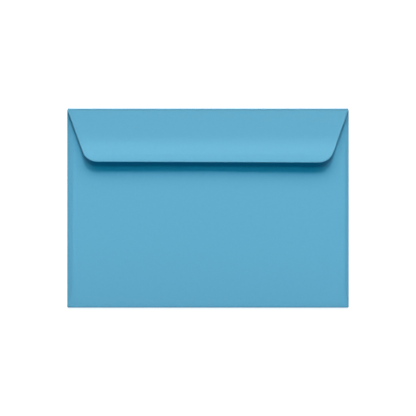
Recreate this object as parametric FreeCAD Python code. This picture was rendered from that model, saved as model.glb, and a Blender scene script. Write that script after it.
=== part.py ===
import FreeCAD, Part
import cmath
import math
import os

# A wallet envelope folded and glued from one sheet of paper. It lies on its front panel with
# the seal flap uppermost. X runs along the long side, +Y runs to the flap's fold and +Z is up.
# The origin is the middle of the underside. Sizes are in millimetres, angles in degrees.

# Folded envelope
width = 229.0
height = 162.0

# Paper
paper = 0.15
side_fold_gap = 0.15

# Bare corner of the front panel, between the ends of two neighbouring folds
corner_gap = 0.25

# Side flaps, folded in over the front panel
side_flap_width = 20.0
side_flap_taper = 9.0

# Back panel, folded up from the bottom and glued on the side flaps
throat_depth = 10.0
side_margin = 3.6
bottom_margin = 2.3
corner_nick = 2.0
shoulder_start = 8.0
shoulder_end = 17.0
throat_corner_radius = 4.0
panel_shift = 0.7

# Seal flap, folded down from the top and springing open
flap_depth = 43.7
flap_skew = 0.75
flap_corner_radius = 12.3
flap_side_slant = 19.9
flap_standoff = 1.45
flap_rise = 0.6
flap_curl = 4.0
curl_length = 10.0
crest_length = 4.0
tip_length = 7.7
tip_droop = 3.5

# Paper that runs past an outline before the outline trims it
trim = 1.0

# Height of each layer's mid-thickness above the surface that the envelope lies on
front_level = paper / 2
side_flap_level = front_level + paper + side_fold_gap
back_level = side_flap_level + paper
flap_level = back_level + paper + flap_standoff

# Mean radius of each fold, and how far the fold reaches past the flat front panel
side_fold = (side_flap_level - front_level) / 2
bottom_fold = (back_level - front_level) / 2
top_fold = (flap_level - front_level) / 2
side_reach = side_fold + paper / 2
bottom_reach = bottom_fold + paper / 2
top_reach = top_fold + paper / 2

# Edges of the flat front panel
front_right = width / 2 - side_reach
front_bottom = bottom_reach - height / 2
front_top = height / 2 - top_reach
fold_end = front_right - corner_gap

# Where the seal flap starts to curl, measured like its depth
curl_start = flap_depth - tip_length - crest_length - curl_length


def fold_length(mean_radius, turn):
    """Length of paper, along its mid-thickness, that a bend of this radius takes up."""
    return mean_radius * abs(math.radians(turn))


def paper_section(start, heading, steps, place):
    """Edge-on face of a strip of paper. The strip starts at the point start, heading that many
    degrees above the horizontal. Each step is a length of paper and the turn that it makes,
    0 where the paper is flat. place turns a complex number, distance + height * 1j, into a
    point in space."""
    spot = start
    ahead = cmath.rect(1, math.radians(heading))
    left_side = []
    right_side = []
    for length, turn in steps:
        left = ahead * 1j * paper / 2
        if turn:
            centre = spot + ahead * 1j * length / math.radians(turn)
            halfway = cmath.rect(1, math.radians(turn / 2))
            for edges, edge_start in ((left_side, spot + left), (right_side, spot - left)):
                spoke = edge_start - centre
                stations = [centre + spoke, centre + spoke * halfway, centre + spoke * halfway**2]
                edges.append(Part.Arc(*[place(station) for station in stations]).toShape())
            spot = centre + (spot - centre) * halfway**2
            ahead *= halfway**2
        else:
            onward = spot + ahead * length
            left_side.append(Part.makeLine(place(spot + left), place(onward + left)))
            right_side.append(Part.makeLine(place(spot - left), place(onward - left)))
            spot = onward
    first_cut = Part.makeLine(right_side[0].Vertexes[0].Point, left_side[0].Vertexes[0].Point)
    left = ahead * 1j * paper / 2
    last_cut = Part.makeLine(place(spot + left), place(spot - left))
    ordered = Part.sortEdges(left_side + [last_cut] + right_side + [first_cut])[0]
    return Part.Face(Part.Wire(ordered))


def outline_prism(corners):
    """Upright prism on an outline in plan, given as complex corner points x + y * 1j, each with
    its corner radius, or 0 for a sharp corner."""
    arcs = []
    stops = []
    for index, (corner, radius) in enumerate(corners):
        back = corners[index - 1][0] - corner
        onward = corners[(index + 1) % len(corners)][0] - corner
        back /= abs(back)
        onward /= abs(onward)
        half_angle = abs(cmath.phase(onward / back)) / 2
        inward = (back + onward) / abs(back + onward)
        tangent = radius / math.tan(half_angle)
        middle = corner + inward * (radius / math.sin(half_angle) - radius)
        stops.append((in_plan(corner + back * tangent), in_plan(corner + onward * tangent)))
        if radius:
            arcs.append(Part.Arc(stops[-1][0], in_plan(middle), stops[-1][1]).toShape())
    lines = []
    for index, (_, departure) in enumerate(stops):
        arrival = stops[(index + 1) % len(stops)][0]
        lines.append(Part.makeLine(departure, arrival))
    outline = Part.Face(Part.Wire(Part.sortEdges(arcs + lines)[0]))
    outline.translate(FreeCAD.Vector(0, 0, -trim))
    return outline.extrude(FreeCAD.Vector(0, 0, flap_depth + trim))


def in_plan(point):
    """Point of the plane Z = 0 at x + y * 1j."""
    return FreeCAD.Vector(point.real, point.imag, 0)


def mirrored(corners):
    """Outline corners of the right side, mirrored for the left side and put in running order."""
    return [(complex(-corner.real, corner.imag), radius) for corner, radius in reversed(corners)]


def front_panel():
    """Flat panel that the envelope lies on."""
    panel = Part.makeBox(2 * front_right, front_top - front_bottom, paper)
    panel.translate(FreeCAD.Vector(-front_right, front_bottom, 0))
    return panel


def right_side_flap():
    """Fold at the front panel's right edge, and the flap turned in from it over the panel."""
    low = front_bottom + corner_gap
    high = front_top - corner_gap
    steps = [(fold_length(side_fold, 180), 180), (side_flap_width + trim, 0)]
    section = paper_section(
        complex(front_right, front_level),
        0,
        steps,
        lambda point: FreeCAD.Vector(point.real, low, point.imag),
    )
    strip = section.extrude(FreeCAD.Vector(0, high - low, 0))
    inner_edge = front_right - side_flap_width
    outline = [
        (complex(width / 2 + trim, low - trim), 0),
        (complex(width / 2 + trim, high + trim), 0),
        (complex(front_right, high + trim), 0),
        (complex(front_right, high), 0),
        (complex(inner_edge, high - side_flap_taper), 0),
        (complex(inner_edge, low + side_flap_taper), 0),
        (complex(front_right, low), 0),
        (complex(front_right, low - trim), 0),
    ]
    return strip.common(outline_prism(outline))


def across(start, heading, steps):
    """Strip of paper that lies across the envelope, from one end of a long fold to the other."""
    section = paper_section(
        start,
        heading,
        steps,
        lambda point: FreeCAD.Vector(-fold_end, point.real, point.imag),
    )
    return section.extrude(FreeCAD.Vector(2 * fold_end, 0, 0))


def back_panel_side(shift):
    """Corners of the back panel's right side, from its fold up, moved by shift to the right."""
    lower_edge = width / 2 - bottom_margin + shift
    upper_edge = width / 2 - side_margin + shift
    return [
        (complex(fold_end, -height / 2 - trim), 0),
        (complex(fold_end, front_bottom), 0),
        (complex(lower_edge, front_bottom + corner_nick), 0),
        (complex(lower_edge, front_bottom + shoulder_start), 0),
        (complex(upper_edge, front_bottom + shoulder_end), 0),
        (complex(upper_edge, height / 2 - throat_depth), throat_corner_radius),
    ]


def back_panel():
    """Fold at the bottom, and the panel turned up from it. It is narrower than the envelope,
    so a strip of each side flap shows beside it, and lies a little to the right."""
    length = height - throat_depth + trim
    steps = [(fold_length(bottom_fold, 180), -180), (length, 0)]
    strip = across(complex(front_bottom, front_level), 180, steps)
    outline = back_panel_side(panel_shift) + mirrored(back_panel_side(-panel_shift))
    return strip.common(outline_prism(outline))


def seal_flap_side(lowering):
    """Corners of the seal flap's right side, from its free edge up to its fold, with the free
    corner lowered by this much."""
    slant_width = (flap_depth - top_reach) * math.tan(math.radians(flap_side_slant))
    free_corner = complex(fold_end - slant_width, height / 2 - flap_depth - lowering)
    return [
        (free_corner, flap_corner_radius),
        (complex(fold_end, front_top), 0),
        (complex(fold_end, height / 2 + trim), 0),
    ]


def seal_flap():
    """Fold at the top, and the flap turned down from it. The fold springs back, so the flap
    rises from the back panel, curls up further to a crest and droops towards its free edge,
    which hangs slightly lower at its right end."""
    steps = [
        (fold_length(top_fold, 180 - flap_rise), 180 - flap_rise),
        (curl_start - top_reach, 0),
        (curl_length, -flap_curl),
        (crest_length, 0),
        (2 * tip_length, 2 * tip_droop),
    ]
    strip = across(complex(front_top, front_level), 0, steps)
    outline = seal_flap_side(flap_skew / 2) + mirrored(seal_flap_side(-flap_skew / 2))
    return strip.common(outline_prism(outline))


def envelope():
    """The whole folded and glued sheet."""
    side_flap = right_side_flap()
    left_side_flap = side_flap.mirror(FreeCAD.Vector(0, 0, 0), FreeCAD.Vector(1, 0, 0))
    pieces = [side_flap, left_side_flap, back_panel(), seal_flap()]
    return front_panel().multiFuse(pieces).removeSplitter()


os.makedirs("parts", exist_ok=True)
envelope().exportStep("parts/envelope.step")
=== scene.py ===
import math

import bmesh
import bpy
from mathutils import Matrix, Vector


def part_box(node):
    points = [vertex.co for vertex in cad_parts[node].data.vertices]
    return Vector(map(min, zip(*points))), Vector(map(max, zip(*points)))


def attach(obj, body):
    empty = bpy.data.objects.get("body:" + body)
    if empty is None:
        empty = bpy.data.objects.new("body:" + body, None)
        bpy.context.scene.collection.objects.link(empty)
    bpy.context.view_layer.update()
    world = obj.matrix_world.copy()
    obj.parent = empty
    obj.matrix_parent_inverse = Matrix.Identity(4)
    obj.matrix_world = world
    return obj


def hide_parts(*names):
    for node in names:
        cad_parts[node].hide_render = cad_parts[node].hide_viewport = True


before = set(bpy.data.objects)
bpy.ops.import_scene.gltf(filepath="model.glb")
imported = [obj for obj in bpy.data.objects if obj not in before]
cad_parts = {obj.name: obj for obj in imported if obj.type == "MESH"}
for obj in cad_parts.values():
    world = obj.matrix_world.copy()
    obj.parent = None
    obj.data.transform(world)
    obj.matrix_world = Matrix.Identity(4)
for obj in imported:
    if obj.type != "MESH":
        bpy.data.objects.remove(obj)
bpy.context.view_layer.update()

mm = 0.001

# Sizes of the folded envelope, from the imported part
node_low, node_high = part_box("envelope")
width = node_high[0] - node_low[0]
height = node_high[1] - node_low[1]

# Paper, and the air that the side folds hold
paper = 0.15 * mm
side_fold_gap = 0.15 * mm
corner_gap = 0.25 * mm

# Side flaps
side_flap_width = 20.0 * mm
side_flap_taper = 9.0 * mm

# Back panel
throat_depth = 10.0 * mm
side_margin = 3.6 * mm
bottom_margin = 2.3 * mm
corner_nick = 2.0 * mm
shoulder_start = 8.0 * mm
shoulder_end = 17.0 * mm
throat_corner_radius = 4.0 * mm
panel_shift = 0.7 * mm

# Seal flap
flap_depth = 43.7 * mm
flap_skew = 0.75 * mm
flap_corner_radius = 12.3 * mm
flap_side_slant = math.radians(19.9)
flap_standoff = 1.45 * mm
flap_rise = math.radians(0.6)
flap_curl = math.radians(4.0)
curl_length = 10.0 * mm
crest_length = 4.0 * mm
tip_length = 7.7 * mm
tip_droop = math.radians(3.5)

# Small liveliness of the folded paper
pocket_swell = 0.3 * mm
fold_roll = 0.04 * mm
fold_roll_reach = 6.0 * mm
edge_lift = 0.3 * mm
edge_lift_reach = 4.0 * mm
flap_twist = math.radians(0.1)

# Levels of the layers' mid-thickness, and the mean radius of each fold
front_level = paper / 2
side_flap_level = front_level + paper + side_fold_gap
back_level = side_flap_level + paper
flap_level = back_level + paper + flap_standoff
side_fold = (side_flap_level - front_level) / 2
bottom_fold = (back_level - front_level) / 2
top_fold = (flap_level - front_level) / 2

# Creases, where the flat front panel ends
side_crease = width / 2 - side_fold - paper / 2
bottom_crease = bottom_fold + paper / 2 - height / 2
top_crease = height / 2 - top_fold - paper / 2
fold_end = side_crease - corner_gap
side_flap_low = bottom_crease + corner_gap
side_flap_high = top_crease - corner_gap
side_fold_length = math.pi * side_fold
bottom_fold_length = math.pi * bottom_fold
top_fold_length = (math.pi - flap_rise) * top_fold

# Where the seal flap starts to curl and to droop, measured like its depth
tip_start = flap_depth - tip_length
curl_start = tip_start - crest_length - curl_length

# Spacing of the mesh lines
fold_steps = 8
corner_steps = 10
coarse = 3.0 * mm
fine = 1.2 * mm
middle_columns = 76
edge_columns = 8
edge_band = 0.03
side_flap_columns = 5
step_slack = 0.01
same_point = 0.0001 * mm
weld = 0.01 * mm
sharp_angle = math.radians(40.0)

# Dyed paper, in linear colour
thin_blue = (0.118, 0.405, 0.610, 1.0)
dense_blue = (0.140, 0.445, 0.665, 1.0)
# Paler blue of the cut edge: partly the paler fibre ends, partly a painted highlight of the edge
# catching light.
fibre_end_and_highlight_blue = (0.200, 0.510, 0.715, 1.0)
# Painted shade: a darker blue laid along the folds, at full strength on the top fold and weaker on
# the side and bottom folds.
crease_shade_blue = (0.075, 0.260, 0.410, 1.0)
crease_reach = 0.4 * mm
top_crease_shade = 1.0
other_crease_shade = 0.4

# Fibre and sheen of the paper's face and of its cut edge
clouds_in_tone = 0.7
clouds_in_felt = 0.4
face_clouds = 3.0 * mm
face_fibres = 0.35 * mm
face_felt = 0.05 * mm
smooth_face = 0.72
rough_face = 0.9
edge_clouds = 0.8 * mm
edge_fibres = 0.06 * mm
edge_felt = 0.02 * mm
rough_edge = 0.95
felt_strength = 0.6
paper_sheen = 0.03

# Stage
table_reach = 3.0
table_drop = 0.01 * mm
table_white = 0.45
table_roughness = 0.9
table_glow = 0.85
glow_fade = (0.25, 0.8)
room_light = 0.004
photo_side = 416
envelope_pixels = 281.5
picture_side = width / envelope_pixels * photo_side
focal_length = 100.0
sensor_width = 36.0
nearest_seen = 10.0 * mm

# Lamps. A bearing is 0 straight beyond the seal flap's fold and grows to the right.
light_aim = Vector((0.0, -8.0 * mm, 0.0))
key_bearing = math.radians(2.5)
fill_bearing = math.radians(180.0)
strip_distance = 2.4
strip_width = 5.4
strip_spread = math.radians(120.0)
grid_distance = 0.9
grid_size = (0.6, 0.12)


def stations(start, end, step):
    """Evenly spaced values from start to end, both included, a step apart or slightly less."""
    count = max(1, math.ceil(abs(end - start) / step - step_slack))
    return [start + (end - start) * index / count for index in range(count + 1)]


def rows_between(first, last, step):
    """Rows (y, left end, right end) of the blank from first to last, both included."""
    shares = stations(0.0, 1.0, step / abs(last[0] - first[0]))
    return [tuple(a + (b - a) * share for a, b in zip(first, last)) for share in shares]


def joined(stretches):
    """One list of rows from stretches whose ends meet."""
    rows = list(stretches[0])
    for stretch in stretches[1:]:
        rows += stretch[1:]
    return rows


def front_rows():
    """Rows of the front panel, with a line where the side flaps start, taper and end."""
    marks = [
        bottom_crease,
        side_flap_low,
        side_flap_low + side_flap_taper,
        side_flap_high - side_flap_taper,
        side_flap_high,
        top_crease,
    ]
    return joined([
        rows_between((start, -fold_end, fold_end), (end, -fold_end, fold_end), coarse)
        for start, end in zip(marks, marks[1:])
    ])


def back_rows():
    """Rows of the back panel and the bottom fold in the flat blank, from the throat down to
    the bottom crease. The panel is laid out below the crease, so y falls towards the throat."""
    fold_line = bottom_crease - bottom_fold_length
    throat = height / 2 - throat_depth - bottom_crease
    lower = width / 2 - bottom_margin
    upper = width / 2 - side_margin

    def row(distance, half_width, shift=panel_shift):
        return (fold_line - distance, shift - half_width, shift + half_width)

    corner = []
    for turn in stations(math.pi / 2, 0.0, math.pi / 2 / corner_steps):
        inset = throat_corner_radius * (1 - math.cos(turn))
        rise = throat_corner_radius * math.sin(turn)
        corner.append(row(throat - throat_corner_radius + rise, upper - inset))
    return joined([
        corner,
        rows_between(corner[-1], row(shoulder_end, upper), coarse),
        rows_between(row(shoulder_end, upper), row(shoulder_start, lower), coarse),
        rows_between(row(shoulder_start, lower), row(corner_nick, lower), coarse),
        rows_between(row(corner_nick, lower), row(0.0, fold_end, 0.0), fine),
        rows_between(
            row(0.0, fold_end, 0.0),
            (bottom_crease, -fold_end, fold_end),
            bottom_fold_length / fold_steps,
        ),
    ])


def flap_stretches():
    """Length and mean slope of each stretch of the seal flap beyond its fold."""
    steepest = flap_rise + flap_curl
    return [
        (curl_start - top_fold - paper / 2, flap_rise),
        (curl_length, flap_rise + flap_curl / 2),
        (crest_length, steepest),
        (tip_length, steepest - tip_droop / 2),
    ]


def flap_rows():
    """Rows of the top fold and the seal flap in the flat blank, from the top crease up to the
    flap's free edge. Its sides slant in to rounded corners."""
    slack = sum(length * (1 - math.cos(slope)) for length, slope in flap_stretches())
    fold_line = top_crease + top_fold_length
    reach = top_fold + paper / 2
    length = flap_depth - reach + slack
    slant = math.tan(flap_side_slant)
    centre_y = length - flap_corner_radius
    across = flap_corner_radius / math.cos(flap_side_slant)
    centre_x = fold_end - centre_y * slant - across

    def row(distance, half_width):
        return (fold_line + distance, -half_width, half_width)

    corner = []
    for turn in stations(flap_side_slant, math.pi / 2, math.pi / 2 / corner_steps):
        distance = centre_y + flap_corner_radius * math.sin(turn)
        corner.append(row(distance, centre_x + flap_corner_radius * math.cos(turn)))
    return joined([
        rows_between(
            (top_crease, -fold_end, fold_end),
            row(0.0, fold_end),
            top_fold_length / fold_steps,
        ),
        rows_between(row(0.0, fold_end), corner[0], fine),
        corner,
    ])


def add_grid(mesh, grid):
    """Faces between neighbouring lines of points, all in the plane of the flat blank."""
    lines = [[mesh.verts.new((x, y, 0.0)) for x, y in line] for line in grid]
    for below, above in zip(lines, lines[1:]):
        for near, far, far_above, near_above in zip(below, below[1:], above[1:], above):
            mesh.faces.new((near, far, far_above, near_above))


def column_shares():
    """Places of the mesh columns across the sheet, as shares of its width from the left, closer
    together near its two sides."""
    left = stations(0.0, edge_band, edge_band / edge_columns)
    right = [1.0 - share for share in reversed(left)]
    return joined([left, stations(edge_band, 1.0 - edge_band, 1.0 / middle_columns), right])


def skewed(x, y):
    """Point of the blank, on the seal flap moved so that its free edge is out of square."""
    free_corner = fold_end - (flap_depth - top_fold - paper / 2) * math.tan(flap_side_slant)
    fold_line = top_crease + top_fold_length
    out_on_flap = max(0.0, y - fold_line) / flap_depth
    return (x, y + flap_skew / 2 * out_on_flap * x / free_corner)


def side_flap_line(y, side):
    """Points across a side flap at height y of the blank, from the crease to its cut edge."""
    up = (y - side_flap_low) / side_flap_taper
    down = (side_flap_high - y) / side_flap_taper
    fold_points = stations(side_crease, side_crease + side_fold_length, side_fold_length / fold_steps)
    flat_width = side_flap_width * max(0.0, min(1.0, up, down))
    parts = stations(0.0, 1.0, 1.0 / side_flap_columns)
    flat_points = [fold_points[-1] + flat_width * part for part in parts]
    line = [(side * x, y) for x in fold_points + flat_points[1:]]
    return line[::side]


def flat_blank():
    """The sheet as it is cut, before it is folded: back panel, front panel and seal flap in one
    upright run, with a side flap on each side of the front panel."""
    mesh = bmesh.new()
    front = front_rows()
    run = joined([back_rows(), front, flap_rows()])
    shares = column_shares()
    add_grid(mesh, [
        [skewed(left + (right - left) * share, y) for share in shares] for y, left, right in run
    ])
    for side in (-1, 1):
        add_grid(mesh, [[(side * fold_end, y), (side * side_crease, y)][::side] for y, _, _ in front])
        add_grid(mesh, [side_flap_line(y, side) for y, _, _ in front[1:-1]])
    bmesh.ops.remove_doubles(mesh, verts=mesh.verts, dist=same_point)
    blank = bpy.data.meshes.new("flat_blank")
    mesh.to_mesh(blank)
    mesh.free()
    return blank


def put(tree, kind, inputs=(), **settings):
    """New node of this kind in the tree. inputs pairs a socket's name or number with what feeds
    it, a socket or a plain value."""
    node = tree.nodes.new(kind)
    for name, setting in settings.items():
        setattr(node, name, setting)
    for socket, source in dict(inputs).items():
        if isinstance(source, bpy.types.NodeSocket):
            tree.links.new(source, node.inputs[socket])
        else:
            node.inputs[socket].default_value = source
    return node


def calc(tree, operation, *terms):
    """Result of a Math node on the terms."""
    return put(tree, "ShaderNodeMath", enumerate(terms), operation=operation).outputs[0]


def keep(tree, geometry, name, value, data_type, domain="POINT"):
    """Geometry with the value stored on it as an attribute of this name."""
    inputs = {"Geometry": geometry, "Name": name, "Value": value}
    kind = "GeometryNodeStoreNamedAttribute"
    return put(tree, kind, inputs, data_type=data_type, domain=domain).outputs["Geometry"]


def share_of(tree, distance, reach):
    """How far the distance goes of the reach, from 0 to 1."""
    return put(tree, "ShaderNodeClamp", {0: calc(tree, "DIVIDE", distance, reach)}).outputs[0]


def eased(tree, share):
    """The share, rising fast at first and levelling out at 1."""
    rest = calc(tree, "SUBTRACT", 1.0, share)
    return calc(tree, "SUBTRACT", 1.0, calc(tree, "MULTIPLY", rest, rest))


def bend_group():
    """Node group that bends a sheet. It takes a point's distance past the line where the bend
    starts and its height off the sheet, the length of paper in the bend and the angle that it
    turns through, and gives the distance and height after it."""
    group = bpy.data.node_groups.new("bend_sheet", "GeometryNodeTree")
    for name in ("Distance", "Height", "Length", "Turn"):
        group.interface.new_socket(name, in_out="INPUT", socket_type="NodeSocketFloat")
    for name in ("Distance", "Height"):
        group.interface.new_socket(name, in_out="OUTPUT", socket_type="NodeSocketFloat")
    given = put(group, "NodeGroupInput").outputs
    before = calc(group, "MINIMUM", given["Distance"], 0.0)
    past = calc(group, "MAXIMUM", given["Distance"], 0.0)
    inside = calc(group, "MINIMUM", past, given["Length"])
    beyond = calc(group, "SUBTRACT", past, inside)
    radius = calc(group, "DIVIDE", given["Length"], given["Turn"])
    angle = calc(group, "DIVIDE", inside, radius)
    spoke = calc(group, "SUBTRACT", radius, given["Height"])
    sine = calc(group, "SINE", angle)
    cosine = calc(group, "COSINE", angle)
    arc_distance = calc(group, "ADD", before, calc(group, "MULTIPLY", spoke, sine))
    distance = calc(group, "ADD", arc_distance, calc(group, "MULTIPLY", beyond, cosine))
    arc_height = calc(group, "SUBTRACT", radius, calc(group, "MULTIPLY", spoke, cosine))
    height_after = calc(group, "ADD", arc_height, calc(group, "MULTIPLY", beyond, sine))
    put(group, "NodeGroupOutput", {"Distance": distance, "Height": height_after})
    return group


def crease_shade_mask(tree, given, past_side, past_bottom, past_top):
    """Painted shade along the paper's folds, from the distances past the creases where they start."""

    def shade_band(past, length, crease_shading):
        half = calc(tree, "MULTIPLY", length, 0.5)
        off_middle = calc(tree, "ABSOLUTE", calc(tree, "SUBTRACT", past, half))
        off_fold = calc(tree, "SUBTRACT", off_middle, half)
        fade = calc(tree, "SUBTRACT", 1.0, calc(tree, "DIVIDE", off_fold, given["Crease reach"]))
        return calc(tree, "MULTIPLY", put(tree, "ShaderNodeClamp", {0: fade}).outputs[0], crease_shading)

    side_crease_shade = shade_band(past_side, given["Side fold length"], given["Other crease shade"])
    bottom_crease_shade = shade_band(past_bottom, given["Bottom fold length"], given["Other crease shade"])
    top_crease_shade = shade_band(past_top, given["Top fold length"], given["Top crease shade"])
    return calc(tree, "MAXIMUM", calc(tree, "MAXIMUM", side_crease_shade, bottom_crease_shade), top_crease_shade)


def distance_to_cut(tree, blank):
    """Distance of each point of the blank from the nearest cut edge."""
    neighbours = put(tree, "GeometryNodeInputMeshEdgeNeighbors").outputs[0]
    on_one_face = calc(tree, "LESS_THAN", neighbours, 1.5)
    cuts = put(
        tree,
        "GeometryNodeSeparateGeometry",
        {"Geometry": blank, "Selection": on_one_face},
        domain="EDGE",
    ).outputs["Selection"]
    return put(tree, "GeometryNodeProximity", {0: cuts}, target_element="EDGES").outputs["Distance"]


def back_panel_lift(tree, given, from_middle, past_bottom):
    """How far the back panel stands off its flat place. The pocket swells a little between its
    seams, more at the throat than at the bottom, the panel rolls into its fold, and its cut
    edges stand up slightly from the side flaps."""
    past_fold = calc(tree, "SUBTRACT", past_bottom, given["Bottom fold length"])
    towards_seam = share_of(tree, from_middle, given["Seam"])
    across_pocket = calc(tree, "SUBTRACT", 1.0, calc(tree, "MULTIPLY", towards_seam, towards_seam))
    towards_throat = share_of(tree, past_fold, given["Panel length"])
    crown = calc(tree, "MULTIPLY", across_pocket, towards_throat)
    swell = calc(tree, "MULTIPLY", crown, given["Swell"])
    rolled = eased(tree, share_of(tree, past_fold, given["Fold roll reach"]))
    roll = calc(tree, "MULTIPLY", rolled, given["Fold roll"])
    off_cut = share_of(tree, distance_to_cut(tree, given["Blank"]), given["Edge lift reach"])
    near_cut = calc(tree, "SUBTRACT", 1.0, eased(tree, off_cut))
    loose = calc(tree, "MULTIPLY", near_cut, share_of(tree, past_fold, given["Shoulder"]))
    lift = calc(tree, "MULTIPLY", loose, given["Edge lift"])
    return calc(tree, "ADD", calc(tree, "ADD", swell, roll), lift)


def folded_place(tree, given, spot, off_sheet, past_side, past_top):
    """Place of each spot of the blank in the folded envelope. The seal flap is bent at its tip
    first and at its fold last, then the back panel is folded up and the side flaps are folded
    in."""
    bend_sheet = bend_group()

    def bend(distance, rise, length, turn):
        inputs = {"Distance": distance, "Height": rise, "Length": length, "Turn": turn}
        return put(tree, "GeometryNodeGroup", inputs, node_tree=bend_sheet).outputs

    tip = bend(
        calc(tree, "SUBTRACT", past_top, given["Tip start"]),
        off_sheet,
        given["Tip length"],
        given["Tip droop"],
    )
    from_curl = calc(tree, "SUBTRACT", given["Tip start"], given["Curl start"])
    curl = bend(
        calc(tree, "ADD", tip[0], from_curl),
        tip[1],
        given["Curl length"],
        calc(tree, "MULTIPLY", given["Flap curl"], -1.0),
    )
    sideways = calc(tree, "DIVIDE", spot["X"], given["Side crease"])
    twist = calc(tree, "MULTIPLY", given["Flap twist"], sideways)
    flap = bend(
        calc(tree, "ADD", curl[0], given["Curl start"]),
        curl[1],
        given["Top fold length"],
        calc(tree, "SUBTRACT", math.pi, calc(tree, "ADD", given["Flap rise"], twist)),
    )
    after_top = calc(tree, "ADD", flap[0], given["Top crease"])
    back = bend(
        calc(tree, "SUBTRACT", given["Bottom crease"], after_top),
        flap[1],
        given["Bottom fold length"],
        math.pi,
    )
    sides = bend(past_side, back[1], given["Side fold length"], math.pi)
    off_middle = calc(tree, "ADD", sides[0], given["Side crease"])
    place = {
        0: calc(tree, "MULTIPLY", calc(tree, "SIGN", spot["X"]), off_middle),
        1: calc(tree, "SUBTRACT", given["Bottom crease"], back[0]),
        2: calc(tree, "ADD", sides[1], calc(tree, "MULTIPLY", given["Paper"], 0.5)),
    }
    return put(tree, "ShaderNodeCombineXYZ", place).outputs[0]


def thickened(tree, sheet, thickness):
    """The sheet with both its faces and its cut edges. One face of the paper is pushed out from
    the other by its thickness."""
    normal = put(tree, "GeometryNodeInputNormal").outputs[0]
    half_down = put(
        tree,
        "ShaderNodeVectorMath",
        {0: normal, "Scale": calc(tree, "MULTIPLY", thickness, -0.5)},
        operation="SCALE",
    ).outputs[0]
    outer = put(tree, "GeometryNodeSetPosition", {"Geometry": sheet, "Offset": half_down}).outputs[0]
    inner = put(
        tree,
        "GeometryNodeExtrudeMesh",
        {"Mesh": outer, "Offset Scale": thickness, "Individual": False},
    ).outputs
    walls = keep(tree, inner["Mesh"], "cut_face", inner["Side"], "BOOLEAN", "FACE")
    turned = put(tree, "GeometryNodeFlipFaces", {0: outer}).outputs[0]
    both = put(tree, "GeometryNodeJoinGeometry", {0: walls})
    tree.links.new(turned, both.inputs[0])
    welded = {"Geometry": both.outputs[0], "Distance": weld}
    return put(tree, "GeometryNodeMergeByDistance", welded).outputs[0]


def fold_tree(sizes, paper_material, edge_material):
    """Geometry Nodes tree that folds the flat blank at its creases, curls the seal flap, gives
    the sheet its thickness and hands out the materials. sizes names the inputs."""
    tree = bpy.data.node_groups.new("fold_envelope", "GeometryNodeTree")
    tree.interface.new_socket("Blank", in_out="INPUT", socket_type="NodeSocketGeometry")
    for name in sizes:
        tree.interface.new_socket(name, in_out="INPUT", socket_type="NodeSocketFloat")
    tree.interface.new_socket("Envelope", in_out="OUTPUT", socket_type="NodeSocketGeometry")
    given = put(tree, "NodeGroupInput").outputs

    place = put(tree, "GeometryNodeInputPosition").outputs[0]
    spot = put(tree, "ShaderNodeSeparateXYZ", {0: place}).outputs
    from_middle = calc(tree, "ABSOLUTE", spot["X"])
    past_side = calc(tree, "SUBTRACT", from_middle, given["Side crease"])
    past_bottom = calc(tree, "SUBTRACT", given["Bottom crease"], spot["Y"])
    past_top = calc(tree, "SUBTRACT", spot["Y"], given["Top crease"])

    # Painted shade along the creases, stored for the paper's material.
    crease_shading = crease_shade_mask(tree, given, past_side, past_bottom, past_top)
    blank = keep(tree, given["Blank"], "blank_place", place, "FLOAT_VECTOR")
    blank = keep(tree, blank, "crease_shade", crease_shading, "FLOAT")
    raised = back_panel_lift(tree, given, from_middle, past_bottom)
    off_sheet = calc(tree, "MULTIPLY", raised, -1.0)
    moved = {
        "Geometry": blank,
        "Position": folded_place(tree, given, spot, off_sheet, past_side, past_top),
    }
    folded = put(tree, "GeometryNodeSetPosition", moved).outputs[0]
    sheet = thickened(tree, folded, given["Paper"])

    smooth = put(tree, "GeometryNodeSetShadeSmooth", {"Geometry": sheet}).outputs[0]
    real = put(tree, "GeometryNodeRealizeInstances", {0: smooth}).outputs[0]
    on_paper = {"Geometry": real, "Material": paper_material}
    faced = put(tree, "GeometryNodeSetMaterial", on_paper).outputs[0]
    cut_face = put(
        tree,
        "GeometryNodeInputNamedAttribute",
        {"Name": "cut_face"},
        data_type="BOOLEAN",
    ).outputs["Attribute"]
    on_cuts = {"Geometry": faced, "Selection": cut_face, "Material": edge_material}
    edged = put(tree, "GeometryNodeSetMaterial", on_cuts).outputs[0]
    put(tree, "NodeGroupOutput", {0: edged})
    return tree


def folded_envelope(paper_material, edge_material):
    """The folded sheet as one plain mesh."""
    sizes = {
        "Side crease": side_crease,
        "Bottom crease": bottom_crease,
        "Top crease": top_crease,
        "Side fold length": side_fold_length,
        "Bottom fold length": bottom_fold_length,
        "Top fold length": top_fold_length,
        "Panel length": height - throat_depth,
        "Seam": side_crease - side_flap_width,
        "Crease reach": crease_reach,
        "Top crease shade": top_crease_shade,
        "Other crease shade": other_crease_shade,
        "Swell": pocket_swell,
        "Fold roll": fold_roll,
        "Fold roll reach": fold_roll_reach,
        "Edge lift": edge_lift,
        "Edge lift reach": edge_lift_reach,
        "Shoulder": shoulder_end,
        "Flap rise": flap_rise,
        "Flap twist": flap_twist,
        "Flap curl": flap_curl,
        "Curl start": top_fold_length + curl_start - top_fold - paper / 2,
        "Curl length": curl_length,
        "Tip start": top_fold_length + tip_start - top_fold - paper / 2,
        "Tip length": 2 * tip_length,
        "Tip droop": 2 * tip_droop,
        "Paper": paper,
    }
    blank = bpy.data.objects.new("blank", flat_blank())
    bpy.context.scene.collection.objects.link(blank)
    fold = blank.modifiers.new("fold", "NODES")
    fold.node_group = fold_tree(sizes, paper_material, edge_material)
    for socket in fold.node_group.interface.items_tree:
        if socket.name in sizes:
            fold[socket.identifier] = sizes[socket.name]
    depsgraph = bpy.context.evaluated_depsgraph_get()
    mesh = bpy.data.meshes.new_from_object(blank.evaluated_get(depsgraph), depsgraph=depsgraph)
    bpy.data.objects.remove(blank)
    mesh.name = "folded_envelope"
    mesh.set_sharp_from_angle(angle=sharp_angle)
    envelope = bpy.data.objects.new("folded_envelope", mesh)
    bpy.context.scene.collection.objects.link(envelope)
    return envelope


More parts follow.
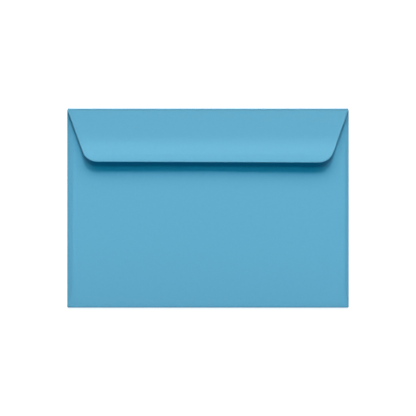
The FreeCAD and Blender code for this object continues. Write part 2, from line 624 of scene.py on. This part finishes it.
def paper_fibre_group():
    """Shader node group of the paper's fibres: soft clouds of denser fibre seen through the
    sheet, and the fine felt of its surface as a height."""
    group = bpy.data.node_groups.new("paper_fibre", "ShaderNodeTree")
    group.interface.new_socket("Place", in_out="INPUT", socket_type="NodeSocketVector")
    for name in ("Cloud size", "Fibre size"):
        group.interface.new_socket(name, in_out="INPUT", socket_type="NodeSocketFloat")
    for name in ("Clouding", "Felt height"):
        group.interface.new_socket(name, in_out="OUTPUT", socket_type="NodeSocketFloat")
    given = put(group, "NodeGroupInput").outputs
    clouds = put(
        group,
        "ShaderNodeTexNoise",
        {
            "Vector": given["Place"],
            "Scale": calc(group, "DIVIDE", 1.0, given["Cloud size"]),
            "Detail": 4.0,
            "Roughness": 0.6,
        },
    ).outputs[0]
    fibres = put(
        group,
        "ShaderNodeTexNoise",
        {
            "Vector": given["Place"],
            "Scale": calc(group, "DIVIDE", 1.0, given["Fibre size"]),
            "Detail": 3.0,
            "Distortion": 1.6,
        },
    ).outputs[0]

    def mixed(cloud_share):
        from_clouds = calc(group, "MULTIPLY", clouds, cloud_share)
        from_fibres = calc(group, "MULTIPLY", fibres, 1.0 - cloud_share)
        return calc(group, "ADD", from_clouds, from_fibres)

    mixes = {"Clouding": mixed(clouds_in_tone), "Felt height": mixed(clouds_in_felt)}
    put(group, "NodeGroupOutput", mixes)
    return group


def fibres_at(tree, fibre_group, place, clouds, fibres):
    """Outputs of the fibre group at this place, with clouds and fibres of these sizes."""
    inputs = {"Place": place, "Cloud size": clouds, "Fibre size": fibres}
    return put(tree, "ShaderNodeGroup", inputs, node_tree=fibre_group).outputs


def blend_colours(tree, share, first, second):
    """Mix of two colours."""
    node = put(tree, "ShaderNodeMix", data_type="RGBA")
    for socket, source in ((0, share), (6, first), (7, second)):
        if isinstance(source, bpy.types.NodeSocket):
            tree.links.new(source, node.inputs[socket])
        else:
            node.inputs[socket].default_value = source
    return node.outputs[2]


def felted(tree, shader, felt, relief):
    """Gives the shader the low relief of felted fibre."""
    inputs = {"Height": felt, "Strength": felt_strength, "Distance": relief}
    bump = put(tree, "ShaderNodeBump", inputs).outputs[0]
    tree.links.new(bump, shader.inputs["Normal"])


def new_material(name):
    """Material of this name, with its node tree and its shader."""
    material = bpy.data.materials.new(name)
    material.use_nodes = True
    return material, material.node_tree, material.node_tree.nodes["Principled BSDF"]


def blue_paper(fibre_group):
    """Through-dyed blue wove paper, with painted shade darkening it along its creases."""
    material, tree, shader = new_material("blue_wove_paper")
    place = put(tree, "ShaderNodeAttribute", attribute_name="blank_place").outputs["Vector"]
    fibre = fibres_at(tree, fibre_group, place, face_clouds, face_fibres)
    dyed = blend_colours(tree, fibre["Clouding"], thin_blue, dense_blue)
    # Painted shade: darker blue mixed in along the creases.
    crease_shade_share = put(tree, "ShaderNodeAttribute", attribute_name="crease_shade").outputs["Fac"]
    tree.links.new(blend_colours(tree, crease_shade_share, dyed, crease_shade_blue), shader.inputs["Base Color"])
    roughness = put(
        tree,
        "ShaderNodeMapRange",
        {"Value": fibre["Felt height"], "To Min": smooth_face, "To Max": rough_face},
    ).outputs[0]
    tree.links.new(roughness, shader.inputs["Roughness"])
    felted(tree, shader, fibre["Felt height"], face_felt)
    shader.inputs["Specular IOR Level"].default_value = paper_sheen
    return material


def cut_paper(fibre_group):
    """The sheet's cut edge, where the ends of the fibres show rougher, and paler partly from the
    fibre ends and partly as a painted highlight.
    """
    material, tree, shader = new_material("cut_paper_edge")
    place = put(tree, "ShaderNodeTexCoord").outputs["Object"]
    fibre = fibres_at(tree, fibre_group, place, edge_clouds, edge_fibres)
    # Paler edge colour, partly a painted highlight.
    dyed = blend_colours(tree, fibre["Clouding"], dense_blue, fibre_end_and_highlight_blue)
    tree.links.new(dyed, shader.inputs["Base Color"])
    felted(tree, shader, fibre["Felt height"], edge_felt)
    shader.inputs["Roughness"].default_value = rough_edge
    shader.inputs["Specular IOR Level"].default_value = paper_sheen
    return material


def seen_rays(tree):
    """1 for the rays that see a surface, straight or in a gloss or through glass, and 0 for the
    rays that only carry light."""
    path = put(tree, "ShaderNodeLightPath").outputs
    mirrored = calc(tree, "MAXIMUM", path["Is Glossy Ray"], path["Is Transmission Ray"])
    return calc(tree, "MAXIMUM", path["Is Camera Ray"], mirrored)


def white_table():
    """Plain white table top that reads as clear white when seen and keeps its shadows. Further
    out, where the lamps fade, its own glow takes over."""
    material, tree, shader = new_material("white_table")
    shader.inputs["Base Color"].default_value = (table_white, table_white, table_white, 1.0)
    shader.inputs["Roughness"].default_value = table_roughness
    shader.inputs["Specular IOR Level"].default_value = 0.0
    shader.inputs["Emission Color"].default_value = (1.0, 1.0, 1.0, 1.0)
    place = put(tree, "ShaderNodeTexCoord").outputs["Object"]
    far_out = put(tree, "ShaderNodeVectorMath", {0: place}, operation="LENGTH").outputs["Value"]
    near, far = glow_fade
    glow = put(
        tree,
        "ShaderNodeMapRange",
        {"Value": far_out, "From Min": near, "From Max": far, "To Min": table_glow, "To Max": 1.0},
    ).outputs[0]
    tree.links.new(calc(tree, "MULTIPLY", glow, seen_rays(tree)), shader.inputs["Emission Strength"])
    return material


def stage_table():
    """Table top under the envelope."""
    mesh = bpy.data.meshes.new("table")
    corners = [(-1, -1), (1, -1), (1, 1), (-1, 1)]
    points = [(table_reach * x, table_reach * y, -table_drop) for x, y in corners]
    mesh.from_pydata(points, [], [range(4)])
    mesh.materials.append(white_table())
    table = bpy.data.objects.new("table", mesh)
    bpy.context.scene.collection.objects.link(table)


def white_room():
    """Background that is white where it is seen, and gives a faint even light."""
    world = bpy.data.worlds.new("white_room")
    world.use_nodes = True
    tree = world.node_tree
    backdrop = tree.nodes["Background"]
    backdrop.inputs["Color"].default_value = (1.0, 1.0, 1.0, 1.0)
    strength = calc(tree, "MAXIMUM", seen_rays(tree), room_light)
    tree.links.new(strength, backdrop.inputs["Strength"])
    bpy.context.scene.world = world


def softbox(name, bearing, elevation, distance, size, power, colour, spread):
    """Rectangular lamp aimed at the middle of the envelope."""
    lamp = bpy.data.lights.new(name, "AREA")
    lamp.shape = "RECTANGLE"
    lamp.size, lamp.size_y = size
    lamp.energy = power
    lamp.color = colour
    lamp.spread = spread
    box = bpy.data.objects.new(name, lamp)
    bpy.context.scene.collection.objects.link(box)
    ground = distance * math.cos(elevation)
    box.location = (
        ground * math.sin(bearing),
        ground * math.cos(bearing),
        distance * math.sin(elevation),
    )
    ahead = light_aim - box.location
    box.rotation_euler = ahead.to_track_quat("-Z", "Y").to_euler()


def strip_light(name, bearing, elevation, opening, power, colour):
    """Long softbox, far enough away to light the whole envelope evenly. Its elevation is in
    degrees and opening is the height of its window."""
    size = (strip_width, opening)
    rise = math.radians(elevation)
    softbox(name, bearing, rise, strip_distance, size, power, colour, strip_spread)


def grid_light(name, elevation, spread, power, colour):
    """Small strip behind a grid, whose light fades out towards the top and the bottom of the
    envelope. Its elevation and spread are in degrees."""
    rise = math.radians(elevation)
    softbox(name, key_bearing, rise, grid_distance, grid_size, power, colour, math.radians(spread))


def overhead_camera():
    """Camera straight above the middle of the envelope, top of the picture towards its fold."""
    lens = bpy.data.cameras.new("overhead_camera")
    lens.lens = focal_length
    lens.sensor_width = sensor_width
    lens.clip_start = nearest_seen
    camera = bpy.data.objects.new("overhead_camera", lens)
    camera.location = (0.0, 0.0, picture_side * focal_length / sensor_width)
    bpy.context.scene.collection.objects.link(camera)
    bpy.context.scene.camera = camera


fibre_group = paper_fibre_group()
envelope = folded_envelope(blue_paper(fibre_group), cut_paper(fibre_group))
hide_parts("envelope")
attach(envelope, "root")

stage_table()
white_room()
strip_light(
    "low_strip",
    key_bearing,
    elevation=13.0,
    opening=0.5,
    power=159.0,
    colour=(1.0, 0.622, 0.50),
)
strip_light(
    "front_fill",
    fill_bearing,
    elevation=15.0,
    opening=0.3,
    power=35.5,
    colour=(0.02, 0.72, 1.0),
)
grid_light("low_grid", elevation=20.0, spread=8.0, power=0.165, colour=(0.84, 0.94, 0.98))
grid_light("middle_grid", elevation=35.0, spread=15.0, power=0.088, colour=(0.12, 0.94, 1.0))
overhead_camera()
bpy.context.scene.view_settings.view_transform = "Standard"
